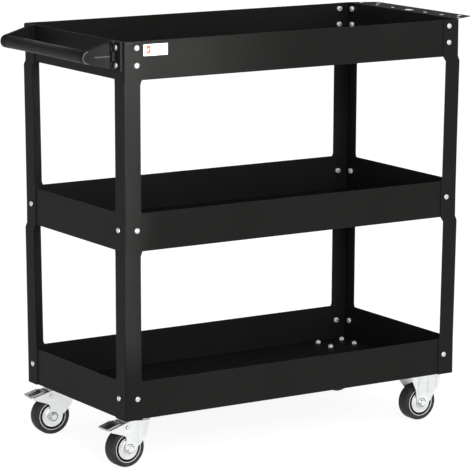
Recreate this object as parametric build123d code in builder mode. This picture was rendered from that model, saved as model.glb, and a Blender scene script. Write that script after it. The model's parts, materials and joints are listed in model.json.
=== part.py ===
"""Three-tray tool cart on two braked swivel casters and two fixed casters.

Millimetres, +Z up. The origin is on the floor under the middle of the whole cart. The push handle is
towards -X, the tool plate towards +X, and the long front wall with the label faces -Y.
"""
from build123d import *
from math import cos, radians, sin, sqrt
import os

os.makedirs("parts", exist_ok=True)

# Tray stack
TRAY_L = 820.0
TRAY_W = 410.0
TRAY_H = 78.0
SHEET = 1.5
LEVEL_PITCH = 346.0
CASTER_H = 106.5
TRAY_CORNER_R = 2.5
TRAY_FOLD_R = 3.0

# Corner posts: angles with a step outward under each tray, that runs back to flush at the next rim
POST_T = 2.0
POST_FLANGE = 40.0
POST_BEND_R = 4.0
POST_STEP = 2.5
POST_STEP_H = 9.0
POST_NECK = 2.5
POST_NECK_H = 6.0

# Screws through posts and tray walls
SCREW_INSET_X = 25.5
SCREW_INSET_Y = 23.0
TOP_SCREW_DROPS = (12.5, 47.5)
LOW_SCREW_DROP = 34.0
SCREW_R = 2.9
SCREW_HOLE_R = 3.2
SCREW_HEAD_R = 6.0
SCREW_HEAD_H = 3.4
NUT_AF = 10.0
NUT_H = 5.0
THREAD_GAP = 0.05
TIP_OUT = 2.5

# Tool plate on the right end of the top tray
PLATE_T = 0.8
PLATE_REACH = 60.0
PLATE_INNER_W = 400.0
PLATE_OUTER_W = 346.0
PLATE_LEG = 58.0
TOOL_ROW_X = 21.0
TOOL_PITCH = 60.0
TOOL_HOLE_R = 5.25
DRILL_HOLE_R = 10.0
CORNER_HOLE_X = 46.0
CORNER_HOLE_Y = 150.0
CORNER_HOLE_R = 6.0

# Push handle on the left end
HANDLE_REACH = 63.6
HANDLE_DROP = 30.8
BOSS_R = 13.8
BOSS_OUT = 33.0
BOSS_IN = 48.0
ARM_OUT = 34.0
ARM_IN = 46.0
ARM_WEB = 9.0
ARM_WALL = 2.5
ARM_RIB = 2.0
POCKET_R = 8.5
POCKET_DEPTH = 15.0
FLARE_X = 7.0
FLARE_Y = 9.0
TUBE_STOP = 3.0
PAD_T = 5.0
PAD_H = 58.0
PAD_OUT = 6.0
HANDLE_TUBE_R = 10.5
HANDLE_TUBE_WALL = 1.5
GRIP_R = 13.0
SLIP = 0.1

# Label on the front wall
LABEL_W = 56.0
LABEL_H = 23.0
LABEL_T = 0.3
LABEL_FROM_END = 43.0
LABEL_DROP = 7.0

# Casters, drawn with the mounting face at z = 0 and the direction of travel along +X
SWIVEL_INSET_X = 56.0
FIXED_INSET_X = 57.0
CASTER_INSET_Y = 50.0
BACK_SWIVEL_YAW = -6.0
FRONT_SWIVEL_YAW = 3.0
BASE_L = 92.0
BASE_W = 67.0
BASE_T = 2.5
BOLT_X = 65.0
BOLT_Y = 50.0

# Wheel
WHEEL_R = 40.0
TYRE_W = 30.0
TYRE_CORNER_R = 4.0
RIM_R = 30.0
RIM_BARREL_R = 28.2
RIM_HALF = 14.8
HUB_R = 11.0
HUB_HALF = 16.2
WEB_HALF = 3.0
COVER_R = 25.2
COVER_FLAT_R = 16.0
COVER_T = 1.0
COVER_IN = 3.2

# Axle
AXLE_R = 3.95
AXLE_HOLE_R = 4.0
AXLE_AF = 13.0
SLEEVE_R = 6.0
RUNNING_GAP = 0.05

# Fork, with the legs' inner faces either side of the wheel
TRAIL = 32.0
FORK_T = 2.5
FORK_IN = 17.2
FORK_OUT = FORK_IN + FORK_T
FORK_END_R = 12.0
FORK_TOP = -9.0
SKIRT_R = 27.0
SKIRT_FOOT = -36.0
BAND_OUT = 0.9
BAND_W = 10.0
BAND_X = -7.0
LEG_REACH = 120.0
LEG_DROP = 90.0

# Swivel bearing
KINGPIN_R = 6.0
KINGPIN_HEAD_R = 9.5
KINGPIN_HEAD_H = 3.2
BALL_R = 3.0
BALL_RING_R = 18.0
BALL_COUNT = 14
RACE_WALL = 3.0

# Brake pedal, pivoted between the legs; the foot plate lies along the fork's tail
PEDAL_PIVOT_X = -37.0
PEDAL_PIVOT_Z = -21.5
PEDAL_PIN_R = 2.2
PEDAL_BARREL_R = 4.2
PIN_HEAD_R = 4.0
PIN_HEAD_T = 1.4
SHOE_L = 6.0
SHOE_W = 20.0
SHOE_FOOT = -26.3
PEDAL_ARM_HALF = 12.5
PEDAL_HALF = 17.0
PEDAL_T = 1.8
PEDAL_START = 50.0
PEDAL_END = 83.0
TAIL_START = (45.0, 13.0)
TAIL_END = (77.5, 22.8)
PEDAL_LIFT = 1.2
LIP_H = 4.0

# Worked-out places
TRAY_X = (HANDLE_REACH + BOSS_R - PLATE_REACH) / 2
LEFT_X = TRAY_X - TRAY_L / 2
RIGHT_X = TRAY_X + TRAY_L / 2
SIDE_Y = TRAY_W / 2
TRAY_BOTTOMS = [CASTER_H + i * LEVEL_PITCH for i in range(3)]
TRAY_RIMS = [z + TRAY_H for z in TRAY_BOTTOMS]
RIM_Z = TRAY_RIMS[2]
AXLE_Z = WHEEL_R - CASTER_H
GRIP_X = LEFT_X - HANDLE_REACH
GRIP_Z = RIM_Z - HANDLE_DROP

# Heights of the screws at each tray, from the bottom tray up
SCREW_LEVELS = [
    [TRAY_RIMS[0] - LOW_SCREW_DROP],
    [TRAY_RIMS[1] - LOW_SCREW_DROP],
    [RIM_Z - drop for drop in TOP_SCREW_DROPS],
]


def save(part, name):
    """Labels one finished sub-part and writes it as its own STEP file."""
    part.label = name
    export_step(part, f"parts/{name}.step")


def save_placed(shape, name, places):
    """Writes one node that holds a copy of a shape at each place, each copy a separate solid."""
    with BuildPart() as placed:
        with Locations(*places):
            add(shape)
    save(placed.part, name)


def wall_places(levels, out, front_back=True, ends=True):
    """Screw places on the tray walls, with +Z pointing outward, a distance out from the walls."""
    places = []
    for z in levels:
        for side in (-1, 1):
            if front_back:
                for x in (LEFT_X + SCREW_INSET_X, RIGHT_X - SCREW_INSET_X):
                    places.append(Plane((x, side * (SIDE_Y + out), z), (1, 0, 0), (0, side, 0)))
            if ends:
                for y in (SCREW_INSET_Y - SIDE_Y, SIDE_Y - SCREW_INSET_Y):
                    middle = TRAY_X + side * (TRAY_L / 2 + out)
                    places.append(Plane((middle, y, z), (0, 1, 0), (side, 0, 0)))
    return places


def caster_bolt_points():
    """The four bolt centres of a mounting plate, about its own centre."""
    return [(sx * BOLT_X / 2, sy * BOLT_Y / 2) for sx in (-1, 1) for sy in (-1, 1)]


def caster_centres():
    """Name, side signs and rest yaw of each caster."""
    return {
        "front_left": (-1, -1, FRONT_SWIVEL_YAW),
        "back_left": (-1, 1, BACK_SWIVEL_YAW),
        "front_right": (1, -1, 0.0),
        "back_right": (1, 1, 0.0),
    }


def caster_origin(sx, sy):
    """Centre of one caster's mounting face, under the bottom tray."""
    inset = SWIVEL_INSET_X if sx < 0 else FIXED_INSET_X
    x = TRAY_X + sx * (TRAY_L / 2 - inset)
    return (x, sy * (SIDE_Y - CASTER_INSET_Y), CASTER_H)


# ---------------------------------------------------------------- trays
def make_tray(name, bottom, levels, caster_holes=False):
    """A folded sheet pan with its screw holes."""
    with BuildPart() as tray:
        with BuildSketch(Plane((TRAY_X, 0, bottom))):
            RectangleRounded(TRAY_L, TRAY_W, TRAY_CORNER_R)
        extrude(amount=TRAY_H)
        fillet(tray.faces().sort_by(Axis.Z)[0].edges(), TRAY_FOLD_R)
        with BuildSketch(Plane((TRAY_X, 0, bottom + SHEET))):
            RectangleRounded(TRAY_L - 2 * SHEET, TRAY_W - 2 * SHEET, TRAY_CORNER_R - SHEET)
        extrude(amount=TRAY_H, mode=Mode.SUBTRACT)
        fillet(tray.faces().sort_by(Axis.Z)[-1].edges(), 0.4 * SHEET)
        with Locations(*wall_places(levels, -SHEET / 2)):
            Cylinder(SCREW_HOLE_R, 3 * SHEET, mode=Mode.SUBTRACT)
        if caster_holes:
            for sx, sy, yaw in caster_centres().values():
                x, y, z = caster_origin(sx, sy)
                with Locations(*[(x + u, y + v, z + SHEET / 2) for u, v in caster_bolt_points()]):
                    Cylinder(SCREW_HOLE_R, 3 * SHEET, mode=Mode.SUBTRACT)
    save(tray.part, name)


make_tray("bottom_tray", TRAY_BOTTOMS[0], SCREW_LEVELS[0], caster_holes=True)
make_tray("middle_tray", TRAY_BOTTOMS[1], SCREW_LEVELS[1])
make_tray("top_tray", TRAY_BOTTOMS[2], SCREW_LEVELS[2])


# ---------------------------------------------------------------- corner posts
def post_sections():
    """Height, outward step and flange width of each section of a post, from the floor up."""
    neck = POST_FLANGE - POST_NECK
    sections = [(TRAY_BOTTOMS[0], 0.0, POST_FLANGE), (TRAY_RIMS[0], 0.0, POST_FLANGE)]
    for rim, bottom, next_rim in zip(TRAY_RIMS[:2], TRAY_BOTTOMS[1:], TRAY_RIMS[1:]):
        step_z = bottom - POST_STEP_H
        neck_step = POST_STEP * POST_NECK_H / (step_z - rim)
        sections.append((rim + POST_NECK_H, neck_step, neck))
        sections.append((step_z, POST_STEP, neck))
        sections.append((bottom, 0.0, POST_FLANGE))
        sections.append((next_rim, 0.0, POST_FLANGE))
    return sections


def make_post(name, sx, sy):
    """One corner post: a bent angle lofted through its sections, with its screw holes."""
    with BuildPart() as post:
        for z, step, flange in post_sections():
            corner_x = TRAY_L / 2 + POST_T + step
            corner_y = SIDE_Y + POST_T + step
            inner_r = POST_BEND_R - POST_T
            bend = POST_BEND_R * (1 - sqrt(0.5))
            inner_bend = POST_T + inner_r * (1 - sqrt(0.5))
            # Outline as distances in from the outer corner, walked round the angle
            steps = [
                (flange, 0),
                (POST_BEND_R, 0),
                (bend, bend),
                (0, POST_BEND_R),
                (0, flange),
                (POST_T, flange),
                (POST_T, POST_BEND_R),
                (inner_bend, inner_bend),
                (POST_BEND_R, POST_T),
                (flange, POST_T),
            ]
            points = [(sx * (corner_x - u), sy * (corner_y - v)) for u, v in steps]
            with BuildSketch(Plane((TRAY_X, 0, z))):
                with BuildLine():
                    Line(points[0], points[1])
                    ThreePointArc(points[1], points[2], points[3])
                    Polyline(*points[3:7])
                    ThreePointArc(points[6], points[7], points[8])
                    Polyline(points[8], points[9], points[0])
                make_face()
        loft(ruled=True)
        for levels in SCREW_LEVELS:
            with Locations(*wall_places(levels, POST_T / 2)):
                Cylinder(SCREW_HOLE_R, 3 * POST_T, mode=Mode.SUBTRACT)
    save(post.part, name)


for corner, (side_x, side_y, yaw) in caster_centres().items():
    make_post(f"post_{corner}", side_x, side_y)


# ---------------------------------------------------------------- tool plate
def make_tool_plate():
    """A perforated flange over the right rim, with a leg down the inside of the end wall."""
    inner_x = RIGHT_X - SHEET - PLATE_T
    outer_x = RIGHT_X + PLATE_REACH
    shoulder_x = RIGHT_X + POST_T
    half_in = PLATE_INNER_W / 2
    half_out = PLATE_OUTER_W / 2
    with BuildPart() as plate:
        with BuildSketch(Plane.XY.offset(RIM_Z)):
            with BuildLine():
                Polyline(
                    (inner_x, -half_in),
                    (shoulder_x, -half_in),
                    (outer_x, -half_out),
                    (outer_x, half_out),
                    (shoulder_x, half_in),
                    (inner_x, half_in),
                    close=True,
                )
            make_face()
        extrude(amount=PLATE_T)
        rim_corners = plate.edges().filter_by(Axis.Z).sort_by(Axis.X)[-2:]
        fillet(rim_corners, 5.0)
        with Locations((inner_x + PLATE_T / 2, 0, RIM_Z - PLATE_LEG / 2)):
            Box(PLATE_T, PLATE_INNER_W - 4.0, PLATE_LEG)
        rows = [side * i * TOOL_PITCH for i in (1, 2, 3) for side in (-1, 1)]
        with Locations(*[(RIGHT_X + TOOL_ROW_X, y, RIM_Z) for y in rows]):
            Cylinder(TOOL_HOLE_R, 4 * PLATE_T, mode=Mode.SUBTRACT)
        with Locations((RIGHT_X + TOOL_ROW_X, 0, RIM_Z)):
            Cylinder(DRILL_HOLE_R, 4 * PLATE_T, mode=Mode.SUBTRACT)
        with Locations(*[(RIGHT_X + CORNER_HOLE_X, side * CORNER_HOLE_Y, RIM_Z) for side in (-1, 1)]):
            Cylinder(CORNER_HOLE_R, 4 * PLATE_T, mode=Mode.SUBTRACT)
        with Locations(*wall_places(SCREW_LEVELS[2], -SHEET - PLATE_T / 2, front_back=False)):
            Cylinder(SCREW_HOLE_R, 3 * PLATE_T, mode=Mode.SUBTRACT)
    save(plate.part, "tool_plate")


make_tool_plate()


# ---------------------------------------------------------------- screws and nuts of the stack
def make_screw(grip):
    """A round-head screw seated at z = 0, through a grip length, its nut and a little more."""
    length = grip + NUT_H + TIP_OUT
    with BuildPart() as screw:
        with BuildSketch(Plane.XY):
            Circle(SCREW_HEAD_R)
        extrude(amount=SCREW_HEAD_H)
        fillet(screw.faces().sort_by(Axis.Z)[-1].edges(), 0.75 * SCREW_HEAD_H)
        with BuildSketch(Plane.XY.offset(-length)):
            Circle(SCREW_R)
        extrude(amount=length)
        chamfer(screw.faces().sort_by(Axis.Z)[0].edges(), 0.5)
    return screw.part


def make_nut():
    """A hex nut seated under z = 0."""
    with BuildPart() as nut:
        with BuildSketch(Plane.XY.offset(-NUT_H)):
            RegularPolygon(NUT_AF / 2, 6, major_radius=False)
            Circle(SCREW_R + THREAD_GAP, mode=Mode.SUBTRACT)
        extrude(amount=NUT_H)
    return nut.part


def end_places(out, left):
    """The screw places of the top tray's left or right end wall."""
    places = wall_places(SCREW_LEVELS[2], out, front_back=False)
    return [p for p in places if (p.origin.X < TRAY_X) == left]


GRIP_PLAIN = POST_T + SHEET
GRIP_HANDLE = GRIP_PLAIN + PAD_T
GRIP_PLATE = GRIP_PLAIN + PLATE_T

plain_places = wall_places(SCREW_LEVELS[0] + SCREW_LEVELS[1], POST_T)
plain_places += wall_places(SCREW_LEVELS[2], POST_T, ends=False)
with BuildPart() as tray_screws:
    with Locations(*plain_places):
        add(make_screw(GRIP_PLAIN))
    with Locations(*end_places(POST_T, left=False)):
        add(make_screw(GRIP_PLATE))
save(tray_screws.part, "tray_screws")

save_placed(make_screw(GRIP_HANDLE), "handle_screws", end_places(POST_T + PAD_T, left=True))

nut_places = wall_places(SCREW_LEVELS[0] + SCREW_LEVELS[1], -SHEET)
nut_places += wall_places(SCREW_LEVELS[2], -SHEET, ends=False)
nut_places += end_places(-SHEET, left=True)
nut_places += end_places(-SHEET - PLATE_T, left=False)
save_placed(make_nut(), "tray_nuts", nut_places)


# ---------------------------------------------------------------- push handle
def make_handle_bracket(name, side):
    """A moulded arm: a pad on the post, a ribbed wedge and the boss that holds the tube."""
    pad_x = LEFT_X - POST_T
    pad_centre = (pad_x - PAD_T / 2, RIM_Z - PAD_H / 2)
    arm = Plane((0, side * (SIDE_Y - ARM_OUT), 0), (1, 0, 0), (0, side, 0))
    upright = 1 if side < 0 else -1
    grip_at = (GRIP_X, upright * GRIP_Z)
    low = upright * pad_centre[1] - PAD_H / 2
    high = upright * pad_centre[1] + PAD_H / 2
    wall_x = pad_x - PAD_T - ARM_WALL
    with BuildPart() as bracket:
        with BuildSketch(arm):
            with BuildLine():
                CenterArc(grip_at, BOSS_R, 0, 360)
                Line((pad_x - PAD_T, low), (pad_x - PAD_T, high))
                Line((pad_x, low), (pad_x, high))
            make_hull()
        extrude(amount=ARM_OUT - ARM_IN)
        with BuildSketch(arm.offset(-ARM_WEB)):
            with BuildLine():
                CenterArc(grip_at, BOSS_R - ARM_WALL, 0, 360)
                Line((wall_x - 1, low + ARM_WALL), (wall_x - 1, high - ARM_WALL))
                Line((wall_x, low + ARM_WALL), (wall_x, high - ARM_WALL))
            make_hull()
        extrude(amount=ARM_OUT - ARM_IN, mode=Mode.SUBTRACT)
        pad_mid_y = side * (SIDE_Y - (PAD_OUT + ARM_IN) / 2)
        with Locations((pad_centre[0], pad_mid_y, pad_centre[1])):
            Box(PAD_T, ARM_IN - PAD_OUT, PAD_H)
        boss_mid_y = side * (SIDE_Y - (BOSS_OUT + BOSS_IN) / 2)
        with Locations(Location((GRIP_X, boss_mid_y, GRIP_Z), (90, 0, 0))):
            Cylinder(BOSS_R, BOSS_IN - BOSS_OUT)
        rib_l = HANDLE_REACH - POST_T
        rib_y = side * (SIDE_Y - ARM_OUT - ARM_RIB / 2 + 0.5)
        with Locations((pad_x - rib_l / 2, rib_y, GRIP_Z)):
            Box(rib_l, ARM_RIB + 1.0, ARM_RIB)
        # The arm's root flares over the pad, with room let into it for the two screw heads
        flare_y = side * (SIDE_Y - ARM_OUT + FLARE_Y / 2)
        with Locations((pad_x - PAD_T - FLARE_X / 2, flare_y, pad_centre[1])):
            Box(FLARE_X, FLARE_Y, PAD_H)
        for drop in TOP_SCREW_DROPS:
            pocket = (pad_x - PAD_T - POCKET_DEPTH / 2, side * (SIDE_Y - SCREW_INSET_Y), RIM_Z - drop)
            with Locations(Location(pocket, (0, 90, 0))):
                Cylinder(POCKET_R, POCKET_DEPTH, mode=Mode.SUBTRACT)
        tube_y = side * (SIDE_Y - (BOSS_OUT + TUBE_STOP + BOSS_IN) / 2)
        with Locations(Location((GRIP_X, tube_y, GRIP_Z), (90, 0, 0))):
            Cylinder(HANDLE_TUBE_R + SLIP, BOSS_IN - BOSS_OUT - TUBE_STOP, mode=Mode.SUBTRACT)
        with Locations(*end_places(POST_T + PAD_T / 2, left=True)):
            Cylinder(SCREW_HOLE_R, 2 * PAD_T, mode=Mode.SUBTRACT)
    save(bracket.part, name)


make_handle_bracket("handle_bracket_front", -1)
make_handle_bracket("handle_bracket_back", 1)

with BuildPart() as handle_tube:
    with BuildSketch(Plane((GRIP_X, SIDE_Y - BOSS_OUT - TUBE_STOP - 0.5, GRIP_Z), (1, 0, 0), (0, -1, 0))):
        Circle(HANDLE_TUBE_R)
        Circle(HANDLE_TUBE_R - HANDLE_TUBE_WALL, mode=Mode.SUBTRACT)
    extrude(amount=TRAY_W - 2 * BOSS_OUT - 2 * TUBE_STOP - 1.0)
save(handle_tube.part, "handle_tube")

with BuildPart() as handle_grip:
    with BuildSketch(Plane((GRIP_X, SIDE_Y - BOSS_IN, GRIP_Z), (1, 0, 0), (0, -1, 0))):
        Circle(GRIP_R)
        Circle(HANDLE_TUBE_R + SLIP, mode=Mode.SUBTRACT)
    extrude(amount=TRAY_W - 2 * BOSS_IN)
save(handle_grip.part, "handle_grip")


# ---------------------------------------------------------------- label
with BuildPart() as label_plate:
    label_mid = (LEFT_X + LABEL_FROM_END + LABEL_W / 2, -SIDE_Y, RIM_Z - LABEL_DROP - LABEL_H / 2)
    with BuildSketch(Plane(label_mid, (1, 0, 0), (0, -1, 0))):
        RectangleRounded(LABEL_W, LABEL_H, 1.5)
    extrude(amount=LABEL_T)
save(label_plate.part, "label_plate")


# ---------------------------------------------------------------- caster pieces
def cross_axis(x, z):
    """A place on the fork's middle plane with its own Z along Y."""
    return Location((x, 0, z), (90, 0, 0))


def end_arc(x, start, end):
    """Three points on the rounded lower end of a leg, between two angles."""
    angles = (start, (start + end) / 2, end)
    return [(x + FORK_END_R * cos(radians(a)), AXLE_Z + FORK_END_R * sin(radians(a))) for a in angles]


def make_base_plate():
    """The swivel caster's mounting plate, with the ring that houses the bearing balls."""
    race_in = BALL_RING_R + BALL_R + 1.5
    with BuildPart() as base:
        with BuildSketch(Plane.XY.offset(-BASE_T)):
            RectangleRounded(BASE_L, BASE_W, 5.0)
            Circle(KINGPIN_R, mode=Mode.SUBTRACT)
            with Locations(*caster_bolt_points()):
                Circle(SCREW_HOLE_R, mode=Mode.SUBTRACT)
        extrude(amount=BASE_T)
        with BuildSketch(Plane.XY.offset(FORK_TOP + 0.8)):
            Circle(race_in + RACE_WALL)
            Circle(race_in, mode=Mode.SUBTRACT)
        extrude(amount=-FORK_TOP - 0.8 - BASE_T)
    return base.part


def make_kingpin():
    """The rivet that holds the fork up, with its head under the fork's top."""
    head_top = FORK_TOP - FORK_T - 0.4
    with BuildPart() as pin:
        with BuildSketch(Plane.XY.offset(head_top - KINGPIN_HEAD_H)):
            Circle(KINGPIN_R - RUNNING_GAP)
        extrude(amount=KINGPIN_HEAD_H - head_top - 0.2)
        with BuildSketch(Plane.XY.offset(head_top - KINGPIN_HEAD_H)):
            Circle(KINGPIN_HEAD_R)
        extrude(amount=KINGPIN_HEAD_H)
    return pin.part


def make_balls():
    """The ring of bearing balls on the fork's top."""
    with BuildPart() as balls:
        with Locations((0, 0, FORK_TOP + BALL_R + 0.02)):
            with PolarLocations(BALL_RING_R, BALL_COUNT):
                Sphere(BALL_R)
    return balls.part


def make_swivel_fork():
    """A pressed fork: a skirt under the bearing, two legs joined round the front, and a tail."""
    arc = end_arc(-TRAIL, -40, -185)
    with BuildPart() as fork:
        with BuildSketch(Plane.XY.offset(FORK_TOP)):
            with Locations((-LEG_REACH / 2, 0)):
                Rectangle(LEG_REACH, 2 * FORK_OUT)
            Circle(FORK_OUT)
        extrude(amount=-LEG_DROP)
        # Pressed bands down the legs
        with Locations((BAND_X, 0, -38)):
            Box(BAND_W, 2 * (FORK_OUT + BAND_OUT), 46.0)
        chamfer(fork.edges().filter_by(Axis.Z).group_by(Axis.Y)[0], BAND_OUT * 0.9)
        chamfer(fork.edges().filter_by(Axis.Z).group_by(Axis.Y)[-1], BAND_OUT * 0.9)
        with BuildSketch(Plane.XZ):
            skirt = [
                (0, FORK_TOP),
                (SKIRT_R, FORK_TOP),
                (SKIRT_R, FORK_TOP - 1),
                (FORK_OUT, SKIRT_FOOT),
                (0, SKIRT_FOOT),
            ]
            Polygon(*skirt, align=None)
        revolve(axis=Axis.Z)
        # Hollow inside: the wheel's room, and the skirt's own taper at the front
        with BuildSketch(Plane.XY.offset(FORK_TOP - FORK_T)):
            with Locations((-LEG_REACH / 2 - 1, 0)):
                Rectangle(LEG_REACH + 2, 2 * FORK_IN)
            Circle(FORK_IN)
        extrude(amount=-LEG_DROP, mode=Mode.SUBTRACT)
        with BuildSketch(Plane.XZ):
            hollow = [
                (0, FORK_TOP - FORK_T),
                (SKIRT_R - FORK_T, FORK_TOP - FORK_T),
                (FORK_IN, SKIRT_FOOT),
                (0, SKIRT_FOOT),
            ]
            Polygon(*hollow, align=None)
        revolve(axis=Axis.Z, mode=Mode.SUBTRACT)
        # The side outline
        with BuildSketch(Plane.XZ.offset(-40)):
            with BuildLine():
                Polyline((30, FORK_TOP), (30, SKIRT_FOOT + 2), (18, SKIRT_FOOT), (1, -53), arc[0])
                ThreePointArc(*arc)
                Line(arc[2], (-39, -50))
                ThreePointArc((-39, -50), (-41, -41), (-48, -36.5))
                Polyline((-48, -36.5), (-77.5, -26.5), (-78.5, -22.8), (-45, -13), (-30, FORK_TOP))
                Line((-30, FORK_TOP), (30, FORK_TOP))
            make_face()
        extrude(amount=80, mode=Mode.INTERSECT)
        with Locations((0, 0, FORK_TOP)):
            Cylinder(KINGPIN_R + 0.02, 12.0, mode=Mode.SUBTRACT)
        with Locations(cross_axis(-TRAIL, AXLE_Z)):
            Cylinder(AXLE_HOLE_R, 60, mode=Mode.SUBTRACT)
        with Locations(cross_axis(PEDAL_PIVOT_X, PEDAL_PIVOT_Z)):
            Cylinder(PEDAL_PIN_R + 0.02, 60, mode=Mode.SUBTRACT)
    return fork.part


def make_fixed_fork():
    """A one-piece rigid fork: a bolted top and two sloping legs that close in to the axle."""
    top_out = BASE_W / 2
    knee_z = -7.0
    bend_z = -46.0
    arc = end_arc(0, -40, -190)
    with BuildPart() as fork:
        for side in (-1, 1):
            with BuildSketch(Plane.YZ.offset(-50)):
                with BuildLine():
                    Polyline(
                        (side * top_out, 0),
                        (side * top_out, knee_z),
                        (side * FORK_OUT, bend_z),
                        (side * FORK_OUT, -95),
                        (side * FORK_IN, -95),
                        (side * FORK_IN, bend_z),
                        (side * (top_out - FORK_T), knee_z),
                        (side * (top_out - FORK_T), 0),
                        close=True,
                    )
                make_face()
            extrude(amount=100)
        with BuildSketch(Plane.XZ.offset(-50)):
            with BuildLine():
                Polyline((-37, 0), (-35, -10), (-18, -38), (-13, -54), arc[2])
                ThreePointArc(arc[2], arc[1], arc[0])
                Polyline(arc[0], (23, -64), (33.5, -48), (39, -36), (40, -26), (38.5, 0), (-37, 0))
            make_face()
        extrude(amount=100, mode=Mode.INTERSECT)
        with BuildSketch(Plane.XY.offset(-BASE_T)):
            RectangleRounded(BASE_L, BASE_W, 5.0)
        extrude(amount=BASE_T)
        with Locations(*caster_bolt_points()):
            Cylinder(SCREW_HOLE_R, 4 * BASE_T, mode=Mode.SUBTRACT)
        with Locations(cross_axis(0, AXLE_Z)):
            Cylinder(AXLE_HOLE_R, 80, mode=Mode.SUBTRACT)
    return fork.part


def make_axle_bolt():
    """A hex bolt along Y through both legs, head at the front."""
    with BuildPart() as bolt:
        with BuildSketch(Plane.XZ.offset(FORK_OUT)):
            RegularPolygon(AXLE_AF / 2, 6, major_radius=False)
        extrude(amount=5.3)
        with BuildSketch(Plane.XZ.offset(-FORK_OUT - 9.5)):
            Circle(AXLE_R)
        extrude(amount=2 * FORK_OUT + 9.5)
    return bolt.part


def make_axle_nut():
    """The nut on the back end of the axle bolt."""
    with BuildPart() as nut:
        with BuildSketch(Plane.XZ.offset(-FORK_OUT)):
            RegularPolygon(AXLE_AF / 2, 6, major_radius=False)
            Circle(AXLE_HOLE_R, mode=Mode.SUBTRACT)
        extrude(amount=-7.0)
    return nut.part


def make_axle_sleeve():
    """The spacer tube that the wheel turns on, clamped between the legs."""
    with BuildPart() as sleeve:
        with BuildSketch(Plane.XZ.offset(-FORK_IN)):
            Circle(SLEEVE_R)
            Circle(AXLE_HOLE_R, mode=Mode.SUBTRACT)
        extrude(amount=2 * FORK_IN)
    return sleeve.part


def make_wheel_rim():
    """The wheel's core: hub, web and the barrel under the tyre."""
    half = [
        (SLEEVE_R + RUNNING_GAP, HUB_HALF),
        (HUB_R, HUB_HALF),
        (HUB_R, WEB_HALF),
        (RIM_BARREL_R, WEB_HALF),
        (RIM_BARREL_R, RIM_HALF),
        (RIM_R, RIM_HALF),
    ]
    with BuildPart() as rim:
        with BuildSketch(Plane.XY):
            Polygon(*half, *[(r, -y) for r, y in reversed(half)], align=None)
        revolve(axis=Axis.Y)
    return rim.part


def make_wheel_covers():
    """The two dished cover discs, one on each side of the hub."""
    inner = HUB_R + 0.02
    flat = HUB_HALF - 0.4
    with BuildPart() as covers:
        for side in (-1, 1):
            with BuildSketch(Plane.XY):
                with BuildLine():
                    Polyline(
                        (inner, side * flat),
                        (COVER_FLAT_R, side * flat),
                        (COVER_R, side * (flat - COVER_IN)),
                        (COVER_R, side * (flat - COVER_IN - COVER_T)),
                        (COVER_FLAT_R, side * (flat - COVER_T)),
                        (inner, side * (flat - COVER_T)),
                        close=True,
                    )
                make_face()
            revolve(axis=Axis.Y)
    return covers.part


def make_tyre():
    """The solid rubber tyre."""
    with BuildPart() as tyre:
        with BuildSketch(Plane.XY) as section:
            with Locations(((RIM_R + WHEEL_R) / 2, 0)):
                Rectangle(WHEEL_R - RIM_R, TYRE_W)
            fillet(section.vertices().group_by(Axis.X)[-1], TYRE_CORNER_R)
        revolve(axis=Axis.Y)
    return tyre.part


def pedal_under(u):
    """Height of the foot plate's underside at a distance behind the swivel axis."""
    slope = (TAIL_END[1] - TAIL_START[1]) / (TAIL_END[0] - TAIL_START[0])
    return PEDAL_LIFT - TAIL_START[1] - slope * (u - TAIL_START[0])


def make_brake_pedal():
    """The pedal: a foot plate with upturned edges, the arm, the pivot barrel and the shoe."""
    start = pedal_under(PEDAL_START)
    end = pedal_under(PEDAL_END)
    pivot = (PEDAL_PIVOT_X, PEDAL_PIVOT_Z)
    with BuildPart() as pedal:
        with BuildSketch(Plane.XZ.offset(-PEDAL_HALF)):
            with BuildLine():
                Polyline(
                    (-PEDAL_START, start),
                    (-PEDAL_END, end),
                    (-PEDAL_END - 1.2, end + LIP_H),
                    (-PEDAL_END + 0.6, end + LIP_H),
                    (-PEDAL_END + 1.5, end + PEDAL_T),
                    (-PEDAL_START, start + PEDAL_T),
                    close=True,
                )
            make_face()
        extrude(amount=2 * PEDAL_HALF)
        for side in (-1, 1):
            with BuildSketch(Plane.XZ.offset(side * (PEDAL_HALF - 0.8) - 0.8)):
                with BuildLine():
                    Polyline(
                        (-PEDAL_START - 3, pedal_under(PEDAL_START + 3)),
                        (-PEDAL_END, end),
                        (-PEDAL_END - 1.2, end + LIP_H),
                        (-PEDAL_START - 6, pedal_under(PEDAL_START + 6) + LIP_H),
                        close=True,
                    )
                make_face()
            extrude(amount=1.6)
        with BuildSketch(Plane.XZ.offset(-PEDAL_ARM_HALF)):
            with BuildLine():
                Polyline(
                    (-PEDAL_START - 4, pedal_under(PEDAL_START + 4) + 0.2),
                    (-PEDAL_START - 4, pedal_under(PEDAL_START + 4) + PEDAL_T),
                    (-PEDAL_START + 2.5, start + PEDAL_T),
                    (pivot[0] + 3.0, pivot[1] + 4.0),
                    (pivot[0] - 1.0, pivot[1] + 1.0),
                    (-PEDAL_START + 1.5, start - 2.5),
                    close=True,
                )
            make_face()
        extrude(amount=2 * PEDAL_ARM_HALF)
        with Locations(cross_axis(*pivot)):
            Cylinder(PEDAL_BARREL_R, 2 * PEDAL_ARM_HALF)
        shoe_h = pivot[1] - SHOE_FOOT
        with Locations((pivot[0] - 1.0 - SHOE_L / 2, 0, SHOE_FOOT + shoe_h / 2)):
            Box(SHOE_L, SHOE_W, shoe_h)
        with Locations(cross_axis(*pivot)):
            Cylinder(PEDAL_PIN_R + RUNNING_GAP, 60.0, mode=Mode.SUBTRACT)
    return pedal.part


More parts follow.
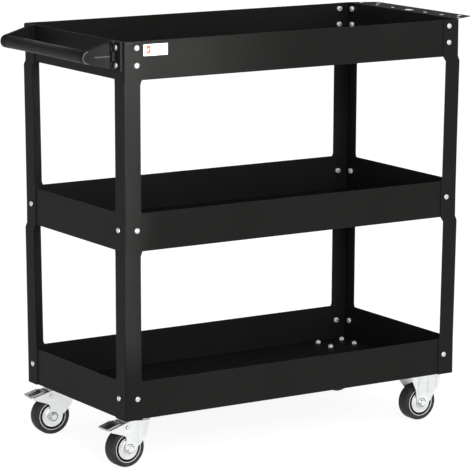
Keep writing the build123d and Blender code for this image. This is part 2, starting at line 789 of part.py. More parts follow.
def make_brake_pin():
    """The rivet that the pedal turns on."""
    with BuildPart() as pin:
        with Locations(cross_axis(PEDAL_PIVOT_X, PEDAL_PIVOT_Z)):
            Cylinder(PEDAL_PIN_R, 2 * FORK_OUT)
        for side in (-1, 1):
            head = (PEDAL_PIVOT_X, side * (FORK_OUT + PIN_HEAD_T / 2), PEDAL_PIVOT_Z)
            with Locations(Location(head, (90, 0, 0))):
                Cylinder(PIN_HEAD_R, PIN_HEAD_T)
    return pin.part


def make_caster_bolt():
    """A hex bolt from under the mounting plate, up through the tray's floor."""
    with BuildPart() as bolt:
        with BuildSketch(Plane.XY.offset(-BASE_T - 4.0)):
            RegularPolygon(NUT_AF / 2, 6, major_radius=False)
        extrude(amount=4.0)
        with BuildSketch(Plane.XY.offset(-BASE_T)):
            Circle(SCREW_R)
        extrude(amount=BASE_T + SHEET + NUT_H + TIP_OUT)
    return bolt.part


def make_caster_nut():
    """The nut on the tray's floor."""
    with BuildPart() as nut:
        with BuildSketch(Plane.XY.offset(SHEET)):
            RegularPolygon(NUT_AF / 2, 6, major_radius=False)
            Circle(SCREW_R + THREAD_GAP, mode=Mode.SUBTRACT)
        extrude(amount=NUT_H)
    return nut.part


# ---------------------------------------------------------------- casters in place
swivel_pieces = {
    "caster_plate": make_base_plate(),
    "kingpin": make_kingpin(),
    "swivel_balls": make_balls(),
    "fork": make_swivel_fork(),
    "brake_pin": make_brake_pin(),
    "brake_pedal": make_brake_pedal(),
}
axle_pieces = {
    "axle_bolt": make_axle_bolt(),
    "axle_nut": make_axle_nut(),
    "axle_sleeve": make_axle_sleeve(),
    "wheel_rim": make_wheel_rim(),
    "wheel_covers": make_wheel_covers(),
    "tyre": make_tyre(),
}
fixed_fork = make_fixed_fork()

bolt_places = []
for corner, (side_x, side_y, yaw) in caster_centres().items():
    origin = caster_origin(side_x, side_y)
    turned = Location(origin, (0, 0, yaw))
    axle_x = -TRAIL if side_x < 0 else 0.0
    axle = turned * Location((axle_x, 0, AXLE_Z))
    for piece, shape in axle_pieces.items():
        save_placed(shape, f"{piece}_{corner}", [axle])
    if side_x < 0:
        for piece, shape in swivel_pieces.items():
            fixed = piece in ("caster_plate", "kingpin")
            save_placed(shape, f"{piece}_{corner}", [Location(origin) if fixed else turned])
    else:
        save_placed(fixed_fork, f"fork_{corner}", [Location(origin)])
    bolt_places += [Location((origin[0] + u, origin[1] + v, origin[2])) for u, v in caster_bolt_points()]

save_placed(make_caster_bolt(), "caster_bolts", bolt_places)
save_placed(make_caster_nut(), "caster_nuts", bolt_places)
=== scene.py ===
"""Looks of the three-tray tool cart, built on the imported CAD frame. Metres, +Z up."""

import json
from math import cos, pi, radians, sin

import bmesh
import bpy
from mathutils import Matrix, Vector


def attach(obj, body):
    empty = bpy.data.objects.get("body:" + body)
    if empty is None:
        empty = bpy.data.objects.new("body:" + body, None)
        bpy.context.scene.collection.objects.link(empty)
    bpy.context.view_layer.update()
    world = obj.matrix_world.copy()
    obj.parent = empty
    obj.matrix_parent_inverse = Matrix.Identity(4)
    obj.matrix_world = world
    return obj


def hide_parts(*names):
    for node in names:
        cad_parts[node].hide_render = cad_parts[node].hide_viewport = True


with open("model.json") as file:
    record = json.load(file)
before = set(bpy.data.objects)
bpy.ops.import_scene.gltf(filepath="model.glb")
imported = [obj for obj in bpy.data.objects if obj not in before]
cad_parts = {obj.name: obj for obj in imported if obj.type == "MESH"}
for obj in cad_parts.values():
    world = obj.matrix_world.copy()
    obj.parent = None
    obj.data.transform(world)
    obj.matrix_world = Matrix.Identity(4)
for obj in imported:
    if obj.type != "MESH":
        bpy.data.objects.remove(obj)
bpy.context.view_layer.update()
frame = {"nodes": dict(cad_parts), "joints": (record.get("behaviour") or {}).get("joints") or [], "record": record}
NODES = frame["nodes"]
JOINTS = {joint["name"]: joint for joint in frame["joints"]}
BODY_OF = {n: body for body, names in frame["record"]["behaviour"]["bodies"].items() for n in names}
SLOT_OF = {entry["node"]: entry["material_slot"] for entry in frame["record"]["subparts"]}
MM = 0.001
SWIVELS = ("front_left", "back_left")
RIGID = ("front_right", "back_right")
CORNERS = SWIVELS + RIGID


# ---------------------------------------------------------------- camera and light
# Fitted to the photograph: the place is in metres and the three angles in radians
CAMERA_PLACE = (-3.188814, -4.972461, 1.523829)
CAMERA_YAW = -0.568692
CAMERA_PITCH = 0.184987
CAMERA_ROLL = 0.003408
CAMERA_LENS = 215.5236

# The surround dims from front to back, by the y of the direction it is seen in.
# A band along the horizon stays bright, by the z of that direction.
SURROUND_FRONT = 1.25
SURROUND_BACK = 0.22
FRONT_ENDS = -0.75
BACK_STARTS = 0.35
HORIZON_LIGHT = 1.0
HORIZON_ENDS = 0.10
SKY_STARTS = 0.22

# Each soft box: name, place, target and size in metres, power in watts, spread in degrees
LIGHTS = (
    ("key", (-1.4, -4.6, 2.0), (-0.2, 0, 0.5), (2.0, 2.0), 110.0, 180.0),
    ("fill", (2.8, -3.6, 1.8), (0, 0, 0.4), (2.0, 2.0), 12.0, 180.0),
    ("top", (0.2, 0.6, 4.0), (0, 0, 0.4), (3.0, 2.0), 25.0, 180.0),
    ("post_strip", (-0.36, -0.80, 0.57), (-0.40, -0.2, 0.57), (0.05, 0.66), 0.30, 14.0),
    ("wall_glow", (-0.30, -0.90, 0.84), (-0.27, -0.2, 0.84), (0.10, 0.06), 0.50, 40.0),
    ("grip_glow", (-0.13, 0.0, 1.43), (-0.465, 0.0, 0.85), (0.05, 0.40), 1.1, 24.0),
)


def make_camera():
    """The camera at the photograph's viewing angle."""
    data = bpy.data.cameras.new("camera")
    data.lens = CAMERA_LENS
    data.sensor_width = 36.0
    data.clip_start = 0.1
    data.clip_end = 200.0
    camera = bpy.data.objects.new("camera", data)
    bpy.context.scene.collection.objects.link(camera)
    turn = (
        Matrix.Rotation(CAMERA_YAW, 4, "Z")
        @ Matrix.Rotation(pi / 2 - CAMERA_PITCH, 4, "X")
        @ Matrix.Rotation(CAMERA_ROLL, 4, "Z")
    )
    camera.matrix_world = Matrix.Translation(CAMERA_PLACE) @ turn
    bpy.context.scene.camera = camera


def area_light(name, place, target, size, power, spread):
    """A soft rectangular light aimed at a point."""
    data = bpy.data.lights.new(name, "AREA")
    data.shape = "RECTANGLE"
    data.size, data.size_y = size
    data.energy = power
    data.spread = radians(spread)
    light = bpy.data.objects.new(name, data)
    light.location = place
    light.visible_camera = False
    aim = Vector(target) - Vector(place)
    light.rotation_mode = "QUATERNION"
    light.rotation_quaternion = aim.to_track_quat("-Z", "Y")
    bpy.context.scene.collection.objects.link(light)


def eased(tree, value, source, target):
    """A world node that eases a value from one range to another."""
    made = tree.nodes.new("ShaderNodeMapRange")
    made.interpolation_type = "SMOOTHSTEP"
    made.inputs["From Min"].default_value, made.inputs["From Max"].default_value = source
    made.inputs["To Min"].default_value, made.inputs["To Max"].default_value = target
    tree.links.new(value, made.inputs["Value"])
    return made.outputs["Result"]


def make_surround():
    """A plain white surround, bright from the front and along the horizon and dimmer elsewhere."""
    world = bpy.data.worlds.new("studio")
    world.use_nodes = True
    tree = world.node_tree
    back = tree.nodes["Background"]
    back.inputs["Color"].default_value = (1.0, 1.0, 1.0, 1.0)
    place = tree.nodes.new("ShaderNodeTexCoord")
    split = tree.nodes.new("ShaderNodeSeparateXYZ")
    tree.links.new(place.outputs["Generated"], split.inputs["Vector"])
    height = tree.nodes.new("ShaderNodeMath")
    height.operation = "ABSOLUTE"
    tree.links.new(split.outputs["Z"], height.inputs[0])
    strength = (SURROUND_FRONT, SURROUND_BACK)
    falloff = eased(tree, split.outputs["Y"], (FRONT_ENDS, BACK_STARTS), strength)
    band = (HORIZON_LIGHT, 0.0)
    horizon = eased(tree, height.outputs["Value"], (HORIZON_ENDS, SKY_STARTS), band)
    brighter = tree.nodes.new("ShaderNodeMath")
    brighter.operation = "MAXIMUM"
    tree.links.new(falloff, brighter.inputs[0])
    tree.links.new(horizon, brighter.inputs[1])
    tree.links.new(brighter.outputs["Value"], back.inputs["Strength"])
    bpy.context.scene.world = world


def make_light():
    """The surround and the soft boxes, shown without any film look."""
    make_surround()
    for light in LIGHTS:
        area_light(*light)
    bpy.context.scene.view_settings.view_transform = "Standard"
    bpy.context.scene.view_settings.look = "None"


# ---------------------------------------------------------------- materials
class Surface:
    """A node material under construction, with object coordinates in metres."""

    def __init__(self, name, metallic=0.0, specular=0.5):
        self.material = bpy.data.materials.new(name)
        self.material.use_nodes = True
        self.tree = self.material.node_tree
        self.shader = self.tree.nodes["Principled BSDF"]
        self.shader.inputs["Metallic"].default_value = metallic
        self.shader.inputs["Specular IOR Level"].default_value = specular
        self.place = self.tree.nodes.new("ShaderNodeTexCoord").outputs["Object"]

    def node(self, kind, **values):
        """A new node with some of its settings."""
        made = self.tree.nodes.new(kind)
        for key, value in values.items():
            setattr(made, key, value)
        return made

    def link(self, output, target):
        self.tree.links.new(output, target)

    def noise(self, scale, detail=3.0, rough=0.55):
        """Cloudy noise, finer for a larger scale."""
        made = self.node("ShaderNodeTexNoise")
        made.inputs["Scale"].default_value = scale
        made.inputs["Detail"].default_value = detail
        made.inputs["Roughness"].default_value = rough
        self.link(self.place, made.inputs["Vector"])
        return made.outputs["Fac"]

    def ramp(self, fac, low, high, span=(0.3, 0.7)):
        """A colour between two others, as a value crosses a span."""
        made = self.node("ShaderNodeValToRGB")
        for element, position, colour in zip(made.color_ramp.elements, span, (low, high)):
            element.position = position
            element.color = (*colour, 1.0)
        self.link(fac, made.inputs["Fac"])
        return made.outputs["Color"]

    def spread(self, fac, low, high, span=(0.3, 0.7)):
        """A number between two others, as a value crosses a span."""
        made = self.node("ShaderNodeMapRange")
        made.inputs["From Min"].default_value, made.inputs["From Max"].default_value = span
        made.inputs["To Min"].default_value, made.inputs["To Max"].default_value = low, high
        self.link(fac, made.inputs["Value"])
        return made.outputs["Result"]

    def sum(self, a, b, weight):
        """One value plus a weighted second one."""
        made = self.node("ShaderNodeMath", operation="MULTIPLY_ADD")
        made.inputs[1].default_value = weight
        self.link(b, made.inputs[0])
        self.link(a, made.inputs[2])
        return made.outputs["Value"]

    def bump(self, height, strength, distance):
        """Fine relief on the surface."""
        made = self.node("ShaderNodeBump")
        made.inputs["Strength"].default_value = strength
        made.inputs["Distance"].default_value = distance
        self.link(height, made.inputs["Height"])
        self.link(made.outputs["Normal"], self.shader.inputs["Normal"])

    def colour(self, output):
        self.link(output, self.shader.inputs["Base Color"])

    def roughness(self, output):
        self.link(output, self.shader.inputs["Roughness"])


def paint(name, low, high, rough, specular=0.06):
    """Black powder coat: an even satin film with a fine orange peel."""
    s = Surface(name, specular=specular)
    broad = s.noise(7.0, 4.0)
    s.colour(s.ramp(broad, low, high))
    peel = s.noise(650.0, 2.0, 0.5)
    grain = s.noise(2600.0, 2.0, 0.6)
    s.roughness(s.spread(s.sum(broad, peel, 0.6), rough[0], rough[1], (0.5, 1.1)))
    s.bump(s.sum(peel, grain, 0.35), 0.22, 0.00025)
    return s.material


def zinc(name, low, high, rough, metallic=1.0):
    """Bright plated steel with a faint spangle and cloudy patches."""
    s = Surface(name, metallic=metallic)
    cloud = s.noise(55.0, 5.0, 0.6)
    fine = s.noise(900.0, 3.0, 0.6)
    s.colour(s.ramp(s.sum(cloud, fine, 0.3), low, high, (0.35, 0.85)))
    s.roughness(s.spread(s.sum(cloud, fine, 0.5), rough[0], rough[1], (0.4, 1.0)))
    s.bump(s.sum(cloud, fine, 0.4), 0.12, 0.0002)
    return s.material


def moulded(name, low, high, rough, specular=0.4, grain=1500.0, relief=0.15):
    """Moulded plastic with a fine tool texture."""
    s = Surface(name, specular=specular)
    cloud = s.noise(25.0, 4.0)
    fine = s.noise(grain, 3.0, 0.6)
    s.colour(s.ramp(cloud, low, high))
    s.roughness(s.spread(s.sum(cloud, fine, 0.5), rough[0], rough[1], (0.45, 1.05)))
    s.bump(s.sum(fine, cloud, 0.5), relief, 0.0002)
    return s.material


def tyre_rubber():
    """Tyre rubber: matt and a little dusty, with fine scuffs."""
    s = Surface("tyre_rubber", specular=0.12)
    cloud = s.noise(60.0, 5.0, 0.65)
    scuff = s.noise(420.0, 4.0, 0.7)
    dust = s.sum(cloud, scuff, 0.5)
    s.colour(s.ramp(dust, (0.011, 0.0112, 0.0112), (0.032, 0.0325, 0.0325), (0.45, 0.95)))
    s.roughness(s.spread(s.sum(cloud, scuff, 0.6), 0.48, 0.72, (0.5, 1.1)))
    s.bump(s.sum(scuff, cloud, 0.6), 0.3, 0.0002)
    return s.material


def label_film(name, low, high):
    """Printed film: smooth with a faint mottle."""
    s = Surface(name, specular=0.4)
    cloud = s.noise(120.0, 3.0)
    s.colour(s.ramp(cloud, low, high))
    s.roughness(s.spread(cloud, 0.32, 0.45))
    s.bump(s.noise(900.0, 2.0), 0.05, 0.0001)
    return s.material


def floor_material():
    """A plain white studio floor, lit a little from within so that shadows stay faint."""
    s = Surface("studio_floor", specular=0.1)
    cloud = s.noise(1.2, 3.0)
    s.colour(s.ramp(cloud, (0.20, 0.20, 0.20), (0.22, 0.22, 0.22)))
    s.roughness(s.spread(s.noise(30.0, 3.0), 0.75, 0.85))
    s.shader.inputs["Emission Color"].default_value = (1.0, 1.0, 1.0, 1.0)
    s.shader.inputs["Emission Strength"].default_value = 0.90
    return s.material


# Each finish's darkest and lightest colour, then its smoothest and roughest value
MATERIALS = {
    "paint": paint("paint_black", (0.0080, 0.0079, 0.0074), (0.0098, 0.0097, 0.0092), (0.46, 0.58)),
    # Lighter copy of the paint for rounded edges: a painted highlight along the edges.
    "paint_edge_highlight": paint(
        "paint_black_edge_highlight", (0.020, 0.020, 0.019), (0.028, 0.028, 0.027), (0.38, 0.48), 0.15
    ),
    # Lighter still, for the top edges of the tray walls: a painted highlight.
    "paint_rim_highlight": paint(
        "paint_black_rim_highlight", (0.050, 0.050, 0.049), (0.064, 0.064, 0.062), (0.36, 0.46), 0.3
    ),
    "bracket": moulded(
        "bracket_plastic", (0.0075, 0.0075, 0.0078), (0.0095, 0.0095, 0.0098), (0.42, 0.54), 0.05
    ),
    # Lighter copy of the bracket plastic for its edges, the boss rim and the rib crest: a painted highlight.
    "bracket_edge_highlight": moulded(
        "bracket_plastic_edge_highlight", (0.055, 0.055, 0.056), (0.070, 0.070, 0.071), (0.34, 0.44), 0.3
    ),
    "grip": moulded(
        "grip_sleeve", (0.008, 0.008, 0.0085), (0.012, 0.012, 0.0125), (0.40, 0.50), 0.07, 900.0, 0.08
    ),
    "tyre": tyre_rubber(),
    "rim_black": moulded("rim_black", (0.008, 0.008, 0.008), (0.012, 0.012, 0.012), (0.4, 0.55)),
    "rim_grey": moulded("rim_grey", (0.50, 0.51, 0.52), (0.60, 0.61, 0.62), (0.35, 0.5)),
    "zinc": zinc("zinc_plate", (0.70, 0.71, 0.71), (0.82, 0.83, 0.83), (0.30, 0.42)),
    # Darker copy of the zinc for the flanks of the leg beads: painted shade.
    "zinc_painted_shade": zinc("zinc_plate_painted_shade", (0.50, 0.505, 0.51), (0.60, 0.605, 0.61), (0.30, 0.42)),
    # Much darker copy of the zinc for rounded edges and the axle rings: painted shade.
    "zinc_edge_painted_shade": zinc("zinc_plate_edge_painted_shade", (0.16, 0.165, 0.17), (0.26, 0.265, 0.27), (0.28, 0.40)),
    # Near white for the walls of the tool plate's holes: a painted highlight.
    "hole_wall_highlight": zinc("hole_wall_steel_highlight", (0.86, 0.86, 0.86), (0.94, 0.94, 0.94), (0.42, 0.54)),
    "screw": zinc("zinc_screw", (0.52, 0.52, 0.52), (0.64, 0.64, 0.64), (0.24, 0.36)),
    # Near white and mostly not metal: the nuts' bright zinc look, painted in as a painted highlight in place of
    # reflections.
    "nut": zinc("zinc_nut_painted_bright", (0.88, 0.88, 0.88), (0.96, 0.96, 0.96), (0.26, 0.38), 0.15),
    "cover": zinc("cover_zinc", (0.52, 0.53, 0.54), (0.80, 0.81, 0.82), (0.22, 0.36)),
    "pedal": zinc("pedal_steel", (0.28, 0.28, 0.28), (0.46, 0.46, 0.46), (0.20, 0.34)),
    # Lighter copy of the pedal steel for its rounded edges: a painted highlight.
    "pedal_edge_highlight": zinc("pedal_steel_edge_highlight", (0.50, 0.50, 0.50), (0.64, 0.64, 0.64), (0.18, 0.30)),
    "balls": zinc("ball_steel", (0.60, 0.60, 0.62), (0.75, 0.75, 0.76), (0.08, 0.16)),
    "label": label_film("label_white", (0.82, 0.82, 0.81), (0.88, 0.88, 0.87)),
    "label_mark": label_film("label_mark", (0.50, 0.055, 0.02), (0.58, 0.07, 0.03)),
    "label_ink": label_film("label_ink", (0.20, 0.20, 0.21), (0.26, 0.26, 0.27)),
    "floor": floor_material(),
}
# The finish of a bare CAD node, by its material slot
CAD_MATERIALS = {
    "painted_black": "paint",
    "bracket_plastic": "bracket",
    "tube_steel": "zinc",
    "grip": "grip",
    "label": "label",
    "tyre": "tyre",
    "rim": "rim_black",
    "cover": "cover",
    "pedal_steel": "pedal",
    "ball_steel": "balls",
    "zinc": "zinc",
}


# ---------------------------------------------------------------- building pieces
def finish_piece(obj, body, materials, replaced=()):
    """Gives a piece its materials and the body it rides on, and hides the CAD nodes it replaces."""
    obj.data.materials.clear()
    for key in materials:
        obj.data.materials.append(MATERIALS[key])
    if not obj.users_collection:
        bpy.context.scene.collection.objects.link(obj)
    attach(obj, body)
    if replaced:
        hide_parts(*replaced)
    return obj


def smooth(obj, angle=35.0):
    """Smooth shading except across sharp edges."""
    mesh = obj.data
    mesh.shade_smooth()
    mesh.set_sharp_from_angle(angle=radians(angle))


def span_of(node):
    """The corners of the box round a CAD node."""
    corners = [NODES[node].matrix_world @ vertex.co for vertex in NODES[node].data.vertices]
    low = Vector([min(c[i] for c in corners) for i in range(3)])
    high = Vector([max(c[i] for c in corners) for i in range(3)])
    return low, high


def clean_copy(node):
    """A copy of a CAD node's mesh with its flat faces whole again."""
    same_spot = 1e-6
    still_flat = radians(0.6)
    mesh = NODES[node].data.copy()
    mesh.name = node + "_shape"
    work = bmesh.new()
    work.from_mesh(mesh)
    bmesh.ops.remove_doubles(work, verts=work.verts, dist=same_spot)
    bmesh.ops.dissolve_limit(work, angle_limit=still_flat, verts=work.verts, edges=work.edges)
    work.to_mesh(mesh)
    work.free()
    return mesh


def rounded(node, width, material, edge_material=None, angle=40.0):
    """A piece with a CAD node's shape and its edges rounded by a width in mm."""
    mesh = clean_copy(node)
    obj = bpy.data.objects.new(node + "_look", mesh)
    materials = [material] + ([edge_material] if edge_material else [])
    finish_piece(obj, BODY_OF[node], materials, [node])
    for polygon in mesh.polygons:
        polygon.material_index = 0
    bevel = obj.modifiers.new("soft_edges", "BEVEL")
    bevel.width = width * MM
    bevel.segments = 2
    bevel.limit_method = "ANGLE"
    bevel.angle_limit = radians(angle)
    bevel.use_clamp_overlap = True
    bevel.harden_normals = False
    # The rounded edges take the second material, a lighter or darker copy of the first: a painted highlight or
    # painted shade along the edges.
    if edge_material:
        bevel.material = 1
    smooth(obj)
    weigh = obj.modifiers.new("even_normals", "WEIGHTED_NORMAL")
    weigh.keep_sharp = True
    return obj


def add_material(obj, key):
    """One more material on a piece, and its number there."""
    obj.data.materials.append(MATERIALS[key])
    return len(obj.data.materials) - 1


def highlight_rim(obj, top):
    """The up-facing edges of a tray's walls, coloured a little lighter than the rest as a painted highlight."""
    highlit = add_material(obj, "paint_rim_highlight")
    for polygon in obj.data.polygons:
        if polygon.normal.z > 0.9 and (obj.matrix_world @ polygon.center).z > top - MM:
            polygon.material_index = highlit


def brighten_holes(obj):
    """The walls of the tool plate's holes, coloured near white as a painted highlight."""
    margin = 0.4 * MM
    bores = [mount for mount in frame["record"]["mounts"] if mount["kind"] == "bore"]
    bright = add_material(obj, "hole_wall_highlight")
    for polygon in obj.data.polygons:
        if abs(polygon.normal.z) > 0.5:
            continue
        middle = obj.matrix_world @ polygon.center
        for bore in bores:
            away = middle.xy - Vector(bore["pos_m"]).xy
            if away.length < bore["dims"]["r_mm"] * MM + margin:
                polygon.material_index = bright


def mesh_object(name, verts, faces):
    """A plain mesh object."""
    mesh = bpy.data.meshes.new(name)
    mesh.from_pydata([tuple(v) for v in verts], [], faces)
    mesh.validate()
    return bpy.data.objects.new(name, mesh)


def lathe(name, profile, place, steps, arc=None):
    """Turns a closed profile of (radius, distance along the axis), in mm, about the local Y axis.

    An arc is its start and its sweep in radians. Without one the turn goes all the way round.
    """
    verts, faces = [], []
    count = len(profile)
    start, sweep = arc or (0.0, 2 * pi)
    rows = steps + 1 if arc else steps
    for i in range(rows):
        a = start + sweep * i / steps
        for r, y in profile:
            verts.append(place @ Vector((r * MM * cos(a), y * MM, r * MM * sin(a))))
    if arc:
        faces.append(tuple(range(count)))
        faces.append(tuple(reversed(range(steps * count, rows * count))))
    for i in range(steps):
        j = (i + 1) % rows
        for k in range(count):
            n = (k + 1) % count
            faces.append((i * count + k, i * count + n, j * count + n, j * count + k))
    return mesh_object(name, verts, faces)


def mirrored(half):
    """A closed profile from its half at positive distance, walked back at negative distance."""
    return half + [(r, -y) for r, y in reversed(half)]


def facing(profile, side):
    """A profile at positive distance, or its mirror image walked the other way for side -1."""
    return [(r, side * y) for r, y in profile][::side]


# ---------------------------------------------------------------- wheels
# Profiles are (radius, distance from the wheel's middle plane) in mm
TREAD_HALF = [
    (30.0, 13.6),
    (30.2, 14.6),
    (31.0, 15.0),
    (34.6, 15.0),
    (35.0, 14.75),
    (35.5, 14.75),
    (36.8, 14.6),
    (38.0, 14.0),
    (39.1, 12.8),
    (39.7, 11.2),
    (40.0, 9.0),
    (40.0, 3.0),
    (40.0, 0.25),
]
CORE_HALF = [
    (6.05, 16.2),
    (10.6, 16.2),
    (11.0, 15.8),
    (11.0, 4.0),
    (12.0, 3.0),
    (27.0, 3.0),
    (28.0, 4.0),
    (28.2, 13.4),
    (29.9, 13.5),
]
RIM_RING = [(28.6, 13.0), (28.7, 14.6), (29.0, 15.0), (29.7, 15.0), (30.1, 14.6), (30.1, 13.0)]
COVER_DISC = [
    (11.02, 15.7),
    (11.4, 16.1),
    (13.2, 16.1),
    (14.2, 15.6),
    (16.8, 15.6),
    (17.8, 15.1),
    (20.6, 15.2),
    (21.8, 15.5),
    (23.0, 15.3),
    (23.6, 14.7),
    (23.6, 13.8),
    (22.6, 14.3),
    (11.02, 14.4),
]
AXLE_RING = [(8.8, 19.6), (8.8, 19.9), (9.2, 20.25), (10.0, 20.25), (10.5, 19.9), (10.5, 19.6)]
WHEEL_STEPS = 128
AXLE_RING_STEPS = 64
SIDES = ((-1, "front"), (1, "back"))


def wheel_place(corner):
    """The wheel's own frame: local Y along its axle."""
    joint = JOINTS["spin_" + corner]
    y = Vector(joint["axis"]).normalized()
    z = Vector((0, 0, 1))
    x = y.cross(z)
    turn = Matrix((x, y, z)).transposed().to_4x4()
    return Matrix.Translation(joint["pos_m"]) @ turn


def make_wheel(corner):
    """The tyre, core, grey rings and cover discs of a wheel, turned about its axle."""
    place = wheel_place(corner)
    body = "wheel_" + corner
    tyre = lathe("tyre_body_" + corner, mirrored(TREAD_HALF), place, WHEEL_STEPS)
    finish_piece(tyre, body, ["tyre"], ["tyre_" + corner])
    smooth(tyre, 40)
    rim = lathe("rim_core_" + corner, mirrored(CORE_HALF), place, WHEEL_STEPS)
    finish_piece(rim, body, ["rim_black"], ["wheel_rim_" + corner])
    smooth(rim, 30)
    for side, face in SIDES:
        tag = f"{corner}_{face}"
        band = lathe("rim_ring_" + tag, facing(RIM_RING, side), place, WHEEL_STEPS)
        finish_piece(band, body, ["rim_grey"])
        smooth(band, 50)
        disc = lathe("cover_disc_" + tag, facing(COVER_DISC, side), place, WHEEL_STEPS)
        finish_piece(disc, body, ["cover"], ["wheel_covers_" + corner] if side < 0 else [])
        smooth(disc, 30)


def make_axle_rings(corner):
    """A low pressed ring round the axle on the outside of both fork legs, coloured dark all over as painted shade.
    """
    place = wheel_place(corner)
    body = BODY_OF["fork_" + corner]
    for side, face in SIDES:
        ring = lathe(f"axle_ring_{face}_{corner}", facing(AXLE_RING, side), place, AXLE_RING_STEPS)
        finish_piece(ring, body, ["zinc_edge_painted_shade"])
        smooth(ring, 50)


# ---------------------------------------------------------------- forks
# Middle lines of the beads pressed into a rigid fork's leg, in mm along the cart, outward
# and up from the point of the fork's top that is over the axle
LEG_BEADS = (
    ((-17.8, 33.4, -8.0), (-9.0, 19.7, -46.0), (-9.0, 19.7, -57.0)),
    ((6.2, 33.4, -8.0), (15.0, 19.7, -46.0), (15.0, 19.7, -52.0)),
    ((28.4, 33.4, -8.0), (34.0, 24.7, -32.0)),
)
# A bead's outline across its middle line: flank, crest and flank, as (across, proud) in mm
BEAD_OUTLINE = ((-1.6, -0.2), (-0.6, 0.6), (0.6, 0.6), (1.6, -0.2))


def make_leg_beads(corner):
    """Upright pressed beads on the outside of the rigid fork's sloping legs."""
    centre = Vector(JOINTS["spin_" + corner]["pos_m"])
    origin = Vector((centre.x, centre.y, span_of("fork_" + corner)[1].z))
    points = len(BEAD_OUTLINE)
    strips = points - 1
    for side, face in SIDES:
        verts, faces = [], []
        for path in LEG_BEADS:
            base = len(verts)
            for x, out, z in path:
                for across, proud in BEAD_OUTLINE:
                    spot = ((x + across) * MM, side * (out + proud) * MM, z * MM)
                    verts.append(origin + Vector(spot))
            for i in range(len(path) - 1):
                for k in range(strips):
                    a = base + points * i + k
                    quad = (a, a + 1, a + points + 1, a + points)
                    faces.append(quad if side < 0 else quad[::-1])
        beads = mesh_object(f"leg_beads_{face}_{corner}", verts, faces)
        finish_piece(beads, BODY_OF["fork_" + corner], ["zinc", "zinc_painted_shade"])
        # Each bead's crest keeps the plain zinc and its flanks take the darker copy: painted shade.
        for polygon in beads.data.polygons:
            crest = polygon.index % strips == 1
            polygon.material_index = 0 if crest else 1
        smooth(beads, 20)


# ---------------------------------------------------------------- handle arms
# Distances from the cart's middle plane and from the grip's axis, in mm
BOSS_RIM = [(11.0, 171.9), (11.0, 172.4), (11.4, 172.8), (12.7, 172.8), (13.2, 172.4), (13.2, 171.9)]
# The boss rim is drawn only over the arc where its painted highlight lies.
BOSS_RIM_ARC = (radians(95), radians(175))
BOSS_RIM_STEPS = 48
RIB_STARTS = 14.0
RIB_ENDS = 50.0
RIB_HALF_HEIGHT = 0.9
RIB_BASE = 171.8
RIB_CREST = 172.6

# The faces of a box from its four near corners, 0 to 3, and its four far ones, 4 to 7
OPEN_BOX = ((4, 5, 6, 7), (0, 1, 5, 4), (1, 2, 6, 5), (2, 3, 7, 6), (3, 0, 4, 7))
BOX_LID = (3, 2, 1, 0)


def make_arm_trim(side, tag):
    """A raised arc on the rim of the handle arm's boss, and the crest of its long rib, both coloured lighter as
    painted highlights.
    """
    low, high = span_of("handle_grip")
    centre = Matrix.Translation(((low.x + high.x) / 2, 0, (low.z + high.z) / 2))
    rim = lathe("boss_rim_" + tag, facing(BOSS_RIM, side), centre, BOSS_RIM_STEPS, BOSS_RIM_ARC)
    finish_piece(rim, "frame", ["bracket_edge_highlight"])
    smooth(rim, 50)
    outline = (
        (RIB_STARTS, -RIB_HALF_HEIGHT),
        (RIB_ENDS, -RIB_HALF_HEIGHT),
        (RIB_ENDS, RIB_HALF_HEIGHT),
        (RIB_STARTS, RIB_HALF_HEIGHT),
    )
    verts = []
    for y in (RIB_BASE, RIB_CREST):
        for x, z in outline:
            verts.append(centre @ Vector((x * MM, side * y * MM, z * MM)))
    faces = [*OPEN_BOX, BOX_LID]
    if side > 0:
        faces = [face[::-1] for face in faces]
    crest = mesh_object("rib_crest_" + tag, verts, faces)
    finish_piece(crest, "frame", ["bracket_edge_highlight"])


# ---------------------------------------------------------------- label
# Panels of the print, each (left, right, bottom, top) in mm from the label's lower left corner
MARK = (6.5, 16.5, 4.0, 21.0)
MARK_BARS = [(9.5, 13.5, 13.2, 14.2), (9.5, 10.6, 8.5, 13.2)]
WORD_BOTTOM = 12.4
WORD_TOP = 13.8
WORD_SPANS = [(19.5, 25.5), (26.5, 30.0), (31.0, 38.5), (39.5, 47.5)]
PRINT_DEPTH = 0.06
BAR_DEPTH = 0.1


def slab(name, panels, depth, material):
    """Thin panels standing out from the front wall's label by a depth in mm."""
    verts, faces = [], []
    low, _ = span_of("label_plate")
    front = low.y
    for left, right, bottom, top in panels:
        base = len(verts)
        for y in (front, front - depth * MM):
            for x, z in ((left, bottom), (right, bottom), (right, top), (left, top)):
                verts.append((low.x + x * MM, y, low.z + z * MM))
        for face in OPEN_BOX:
            faces.append(tuple(base + k for k in face))
    finish_piece(mesh_object(name, verts, faces), "frame", [material])


def make_label_print():
    """A plain coloured mark with two white bars, and grey bars that stand for words."""
    slab("label_mark", [MARK], PRINT_DEPTH, "label_mark")
    slab("label_mark_bars", MARK_BARS, BAR_DEPTH, "label")
    words = [(left, right, WORD_BOTTOM, WORD_TOP) for left, right in WORD_SPANS]
    slab("label_words", words, PRINT_DEPTH, "label_ink")


# ---------------------------------------------------------------- floor and bare CAD nodes
FLOOR_REACH = 40
FLOOR_BACK = 60


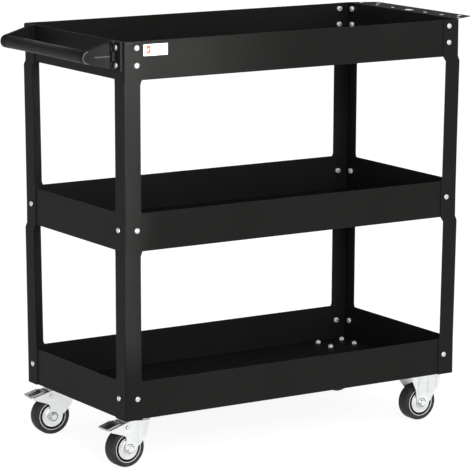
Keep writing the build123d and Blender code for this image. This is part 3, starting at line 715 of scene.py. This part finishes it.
def make_floor():
    """A flat floor that reaches far past the cart on every side, in metres."""
    corners = [
        (-FLOOR_REACH, -FLOOR_REACH, 0),
        (FLOOR_REACH, -FLOOR_REACH, 0),
        (FLOOR_REACH, FLOOR_BACK, 0),
        (-FLOOR_REACH, FLOOR_BACK, 0),
    ]
    floor = mesh_object("studio_floor", corners, [(0, 1, 2, 3)])
    floor.data.materials.append(MATERIALS["floor"])
    bpy.context.scene.collection.objects.link(floor)


def carry_over():
    """Gives every CAD node its finished material, for the nodes that no piece replaces."""
    for name, obj in NODES.items():
        obj.data.materials.clear()
        obj.data.materials.append(MATERIALS[CAD_MATERIALS[SLOT_OF[name]]])


# ---------------------------------------------------------------- the whole picture
make_camera()
make_light()
make_floor()
carry_over()
for node in ("top_tray", "middle_tray", "bottom_tray"):
    highlight_rim(rounded(node, 0.3, "paint", "paint_edge_highlight"), span_of(node)[1].z)
for corner_name in CORNERS:
    rounded("post_" + corner_name, 0.5, "paint", "paint_edge_highlight")
    rounded("fork_" + corner_name, 0.4, "zinc", "zinc_edge_painted_shade", angle=25)
    rounded("axle_bolt_" + corner_name, 0.9, "zinc", "zinc_edge_painted_shade")
    rounded("axle_nut_" + corner_name, 0.7, "zinc", "zinc_edge_painted_shade")
    make_wheel(corner_name)
    make_axle_rings(corner_name)
for corner_name in RIGID:
    make_leg_beads(corner_name)
for corner_name in SWIVELS:
    rounded("caster_plate_" + corner_name, 0.4, "zinc")
    rounded("kingpin_" + corner_name, 0.5, "zinc")
    rounded("brake_pin_" + corner_name, 0.8, "zinc", "zinc_edge_painted_shade")
    rounded("brake_pedal_" + corner_name, 0.4, "pedal", "pedal_edge_highlight")
brighten_holes(rounded("tool_plate", 0.12, "paint", "paint_edge_highlight"))
for side_name in ("front", "back"):
    rounded("handle_bracket_" + side_name, 1.0, "bracket", "bracket_edge_highlight")
rounded("tray_screws", 0.2, "screw")
rounded("handle_screws", 0.2, "screw")
rounded("tray_nuts", 0.4, "nut")
rounded("caster_nuts", 0.4, "nut")
rounded("caster_bolts", 0.4, "zinc")
for side_sign, side_name in SIDES:
    make_arm_trim(side_sign, side_name)
make_label_print()
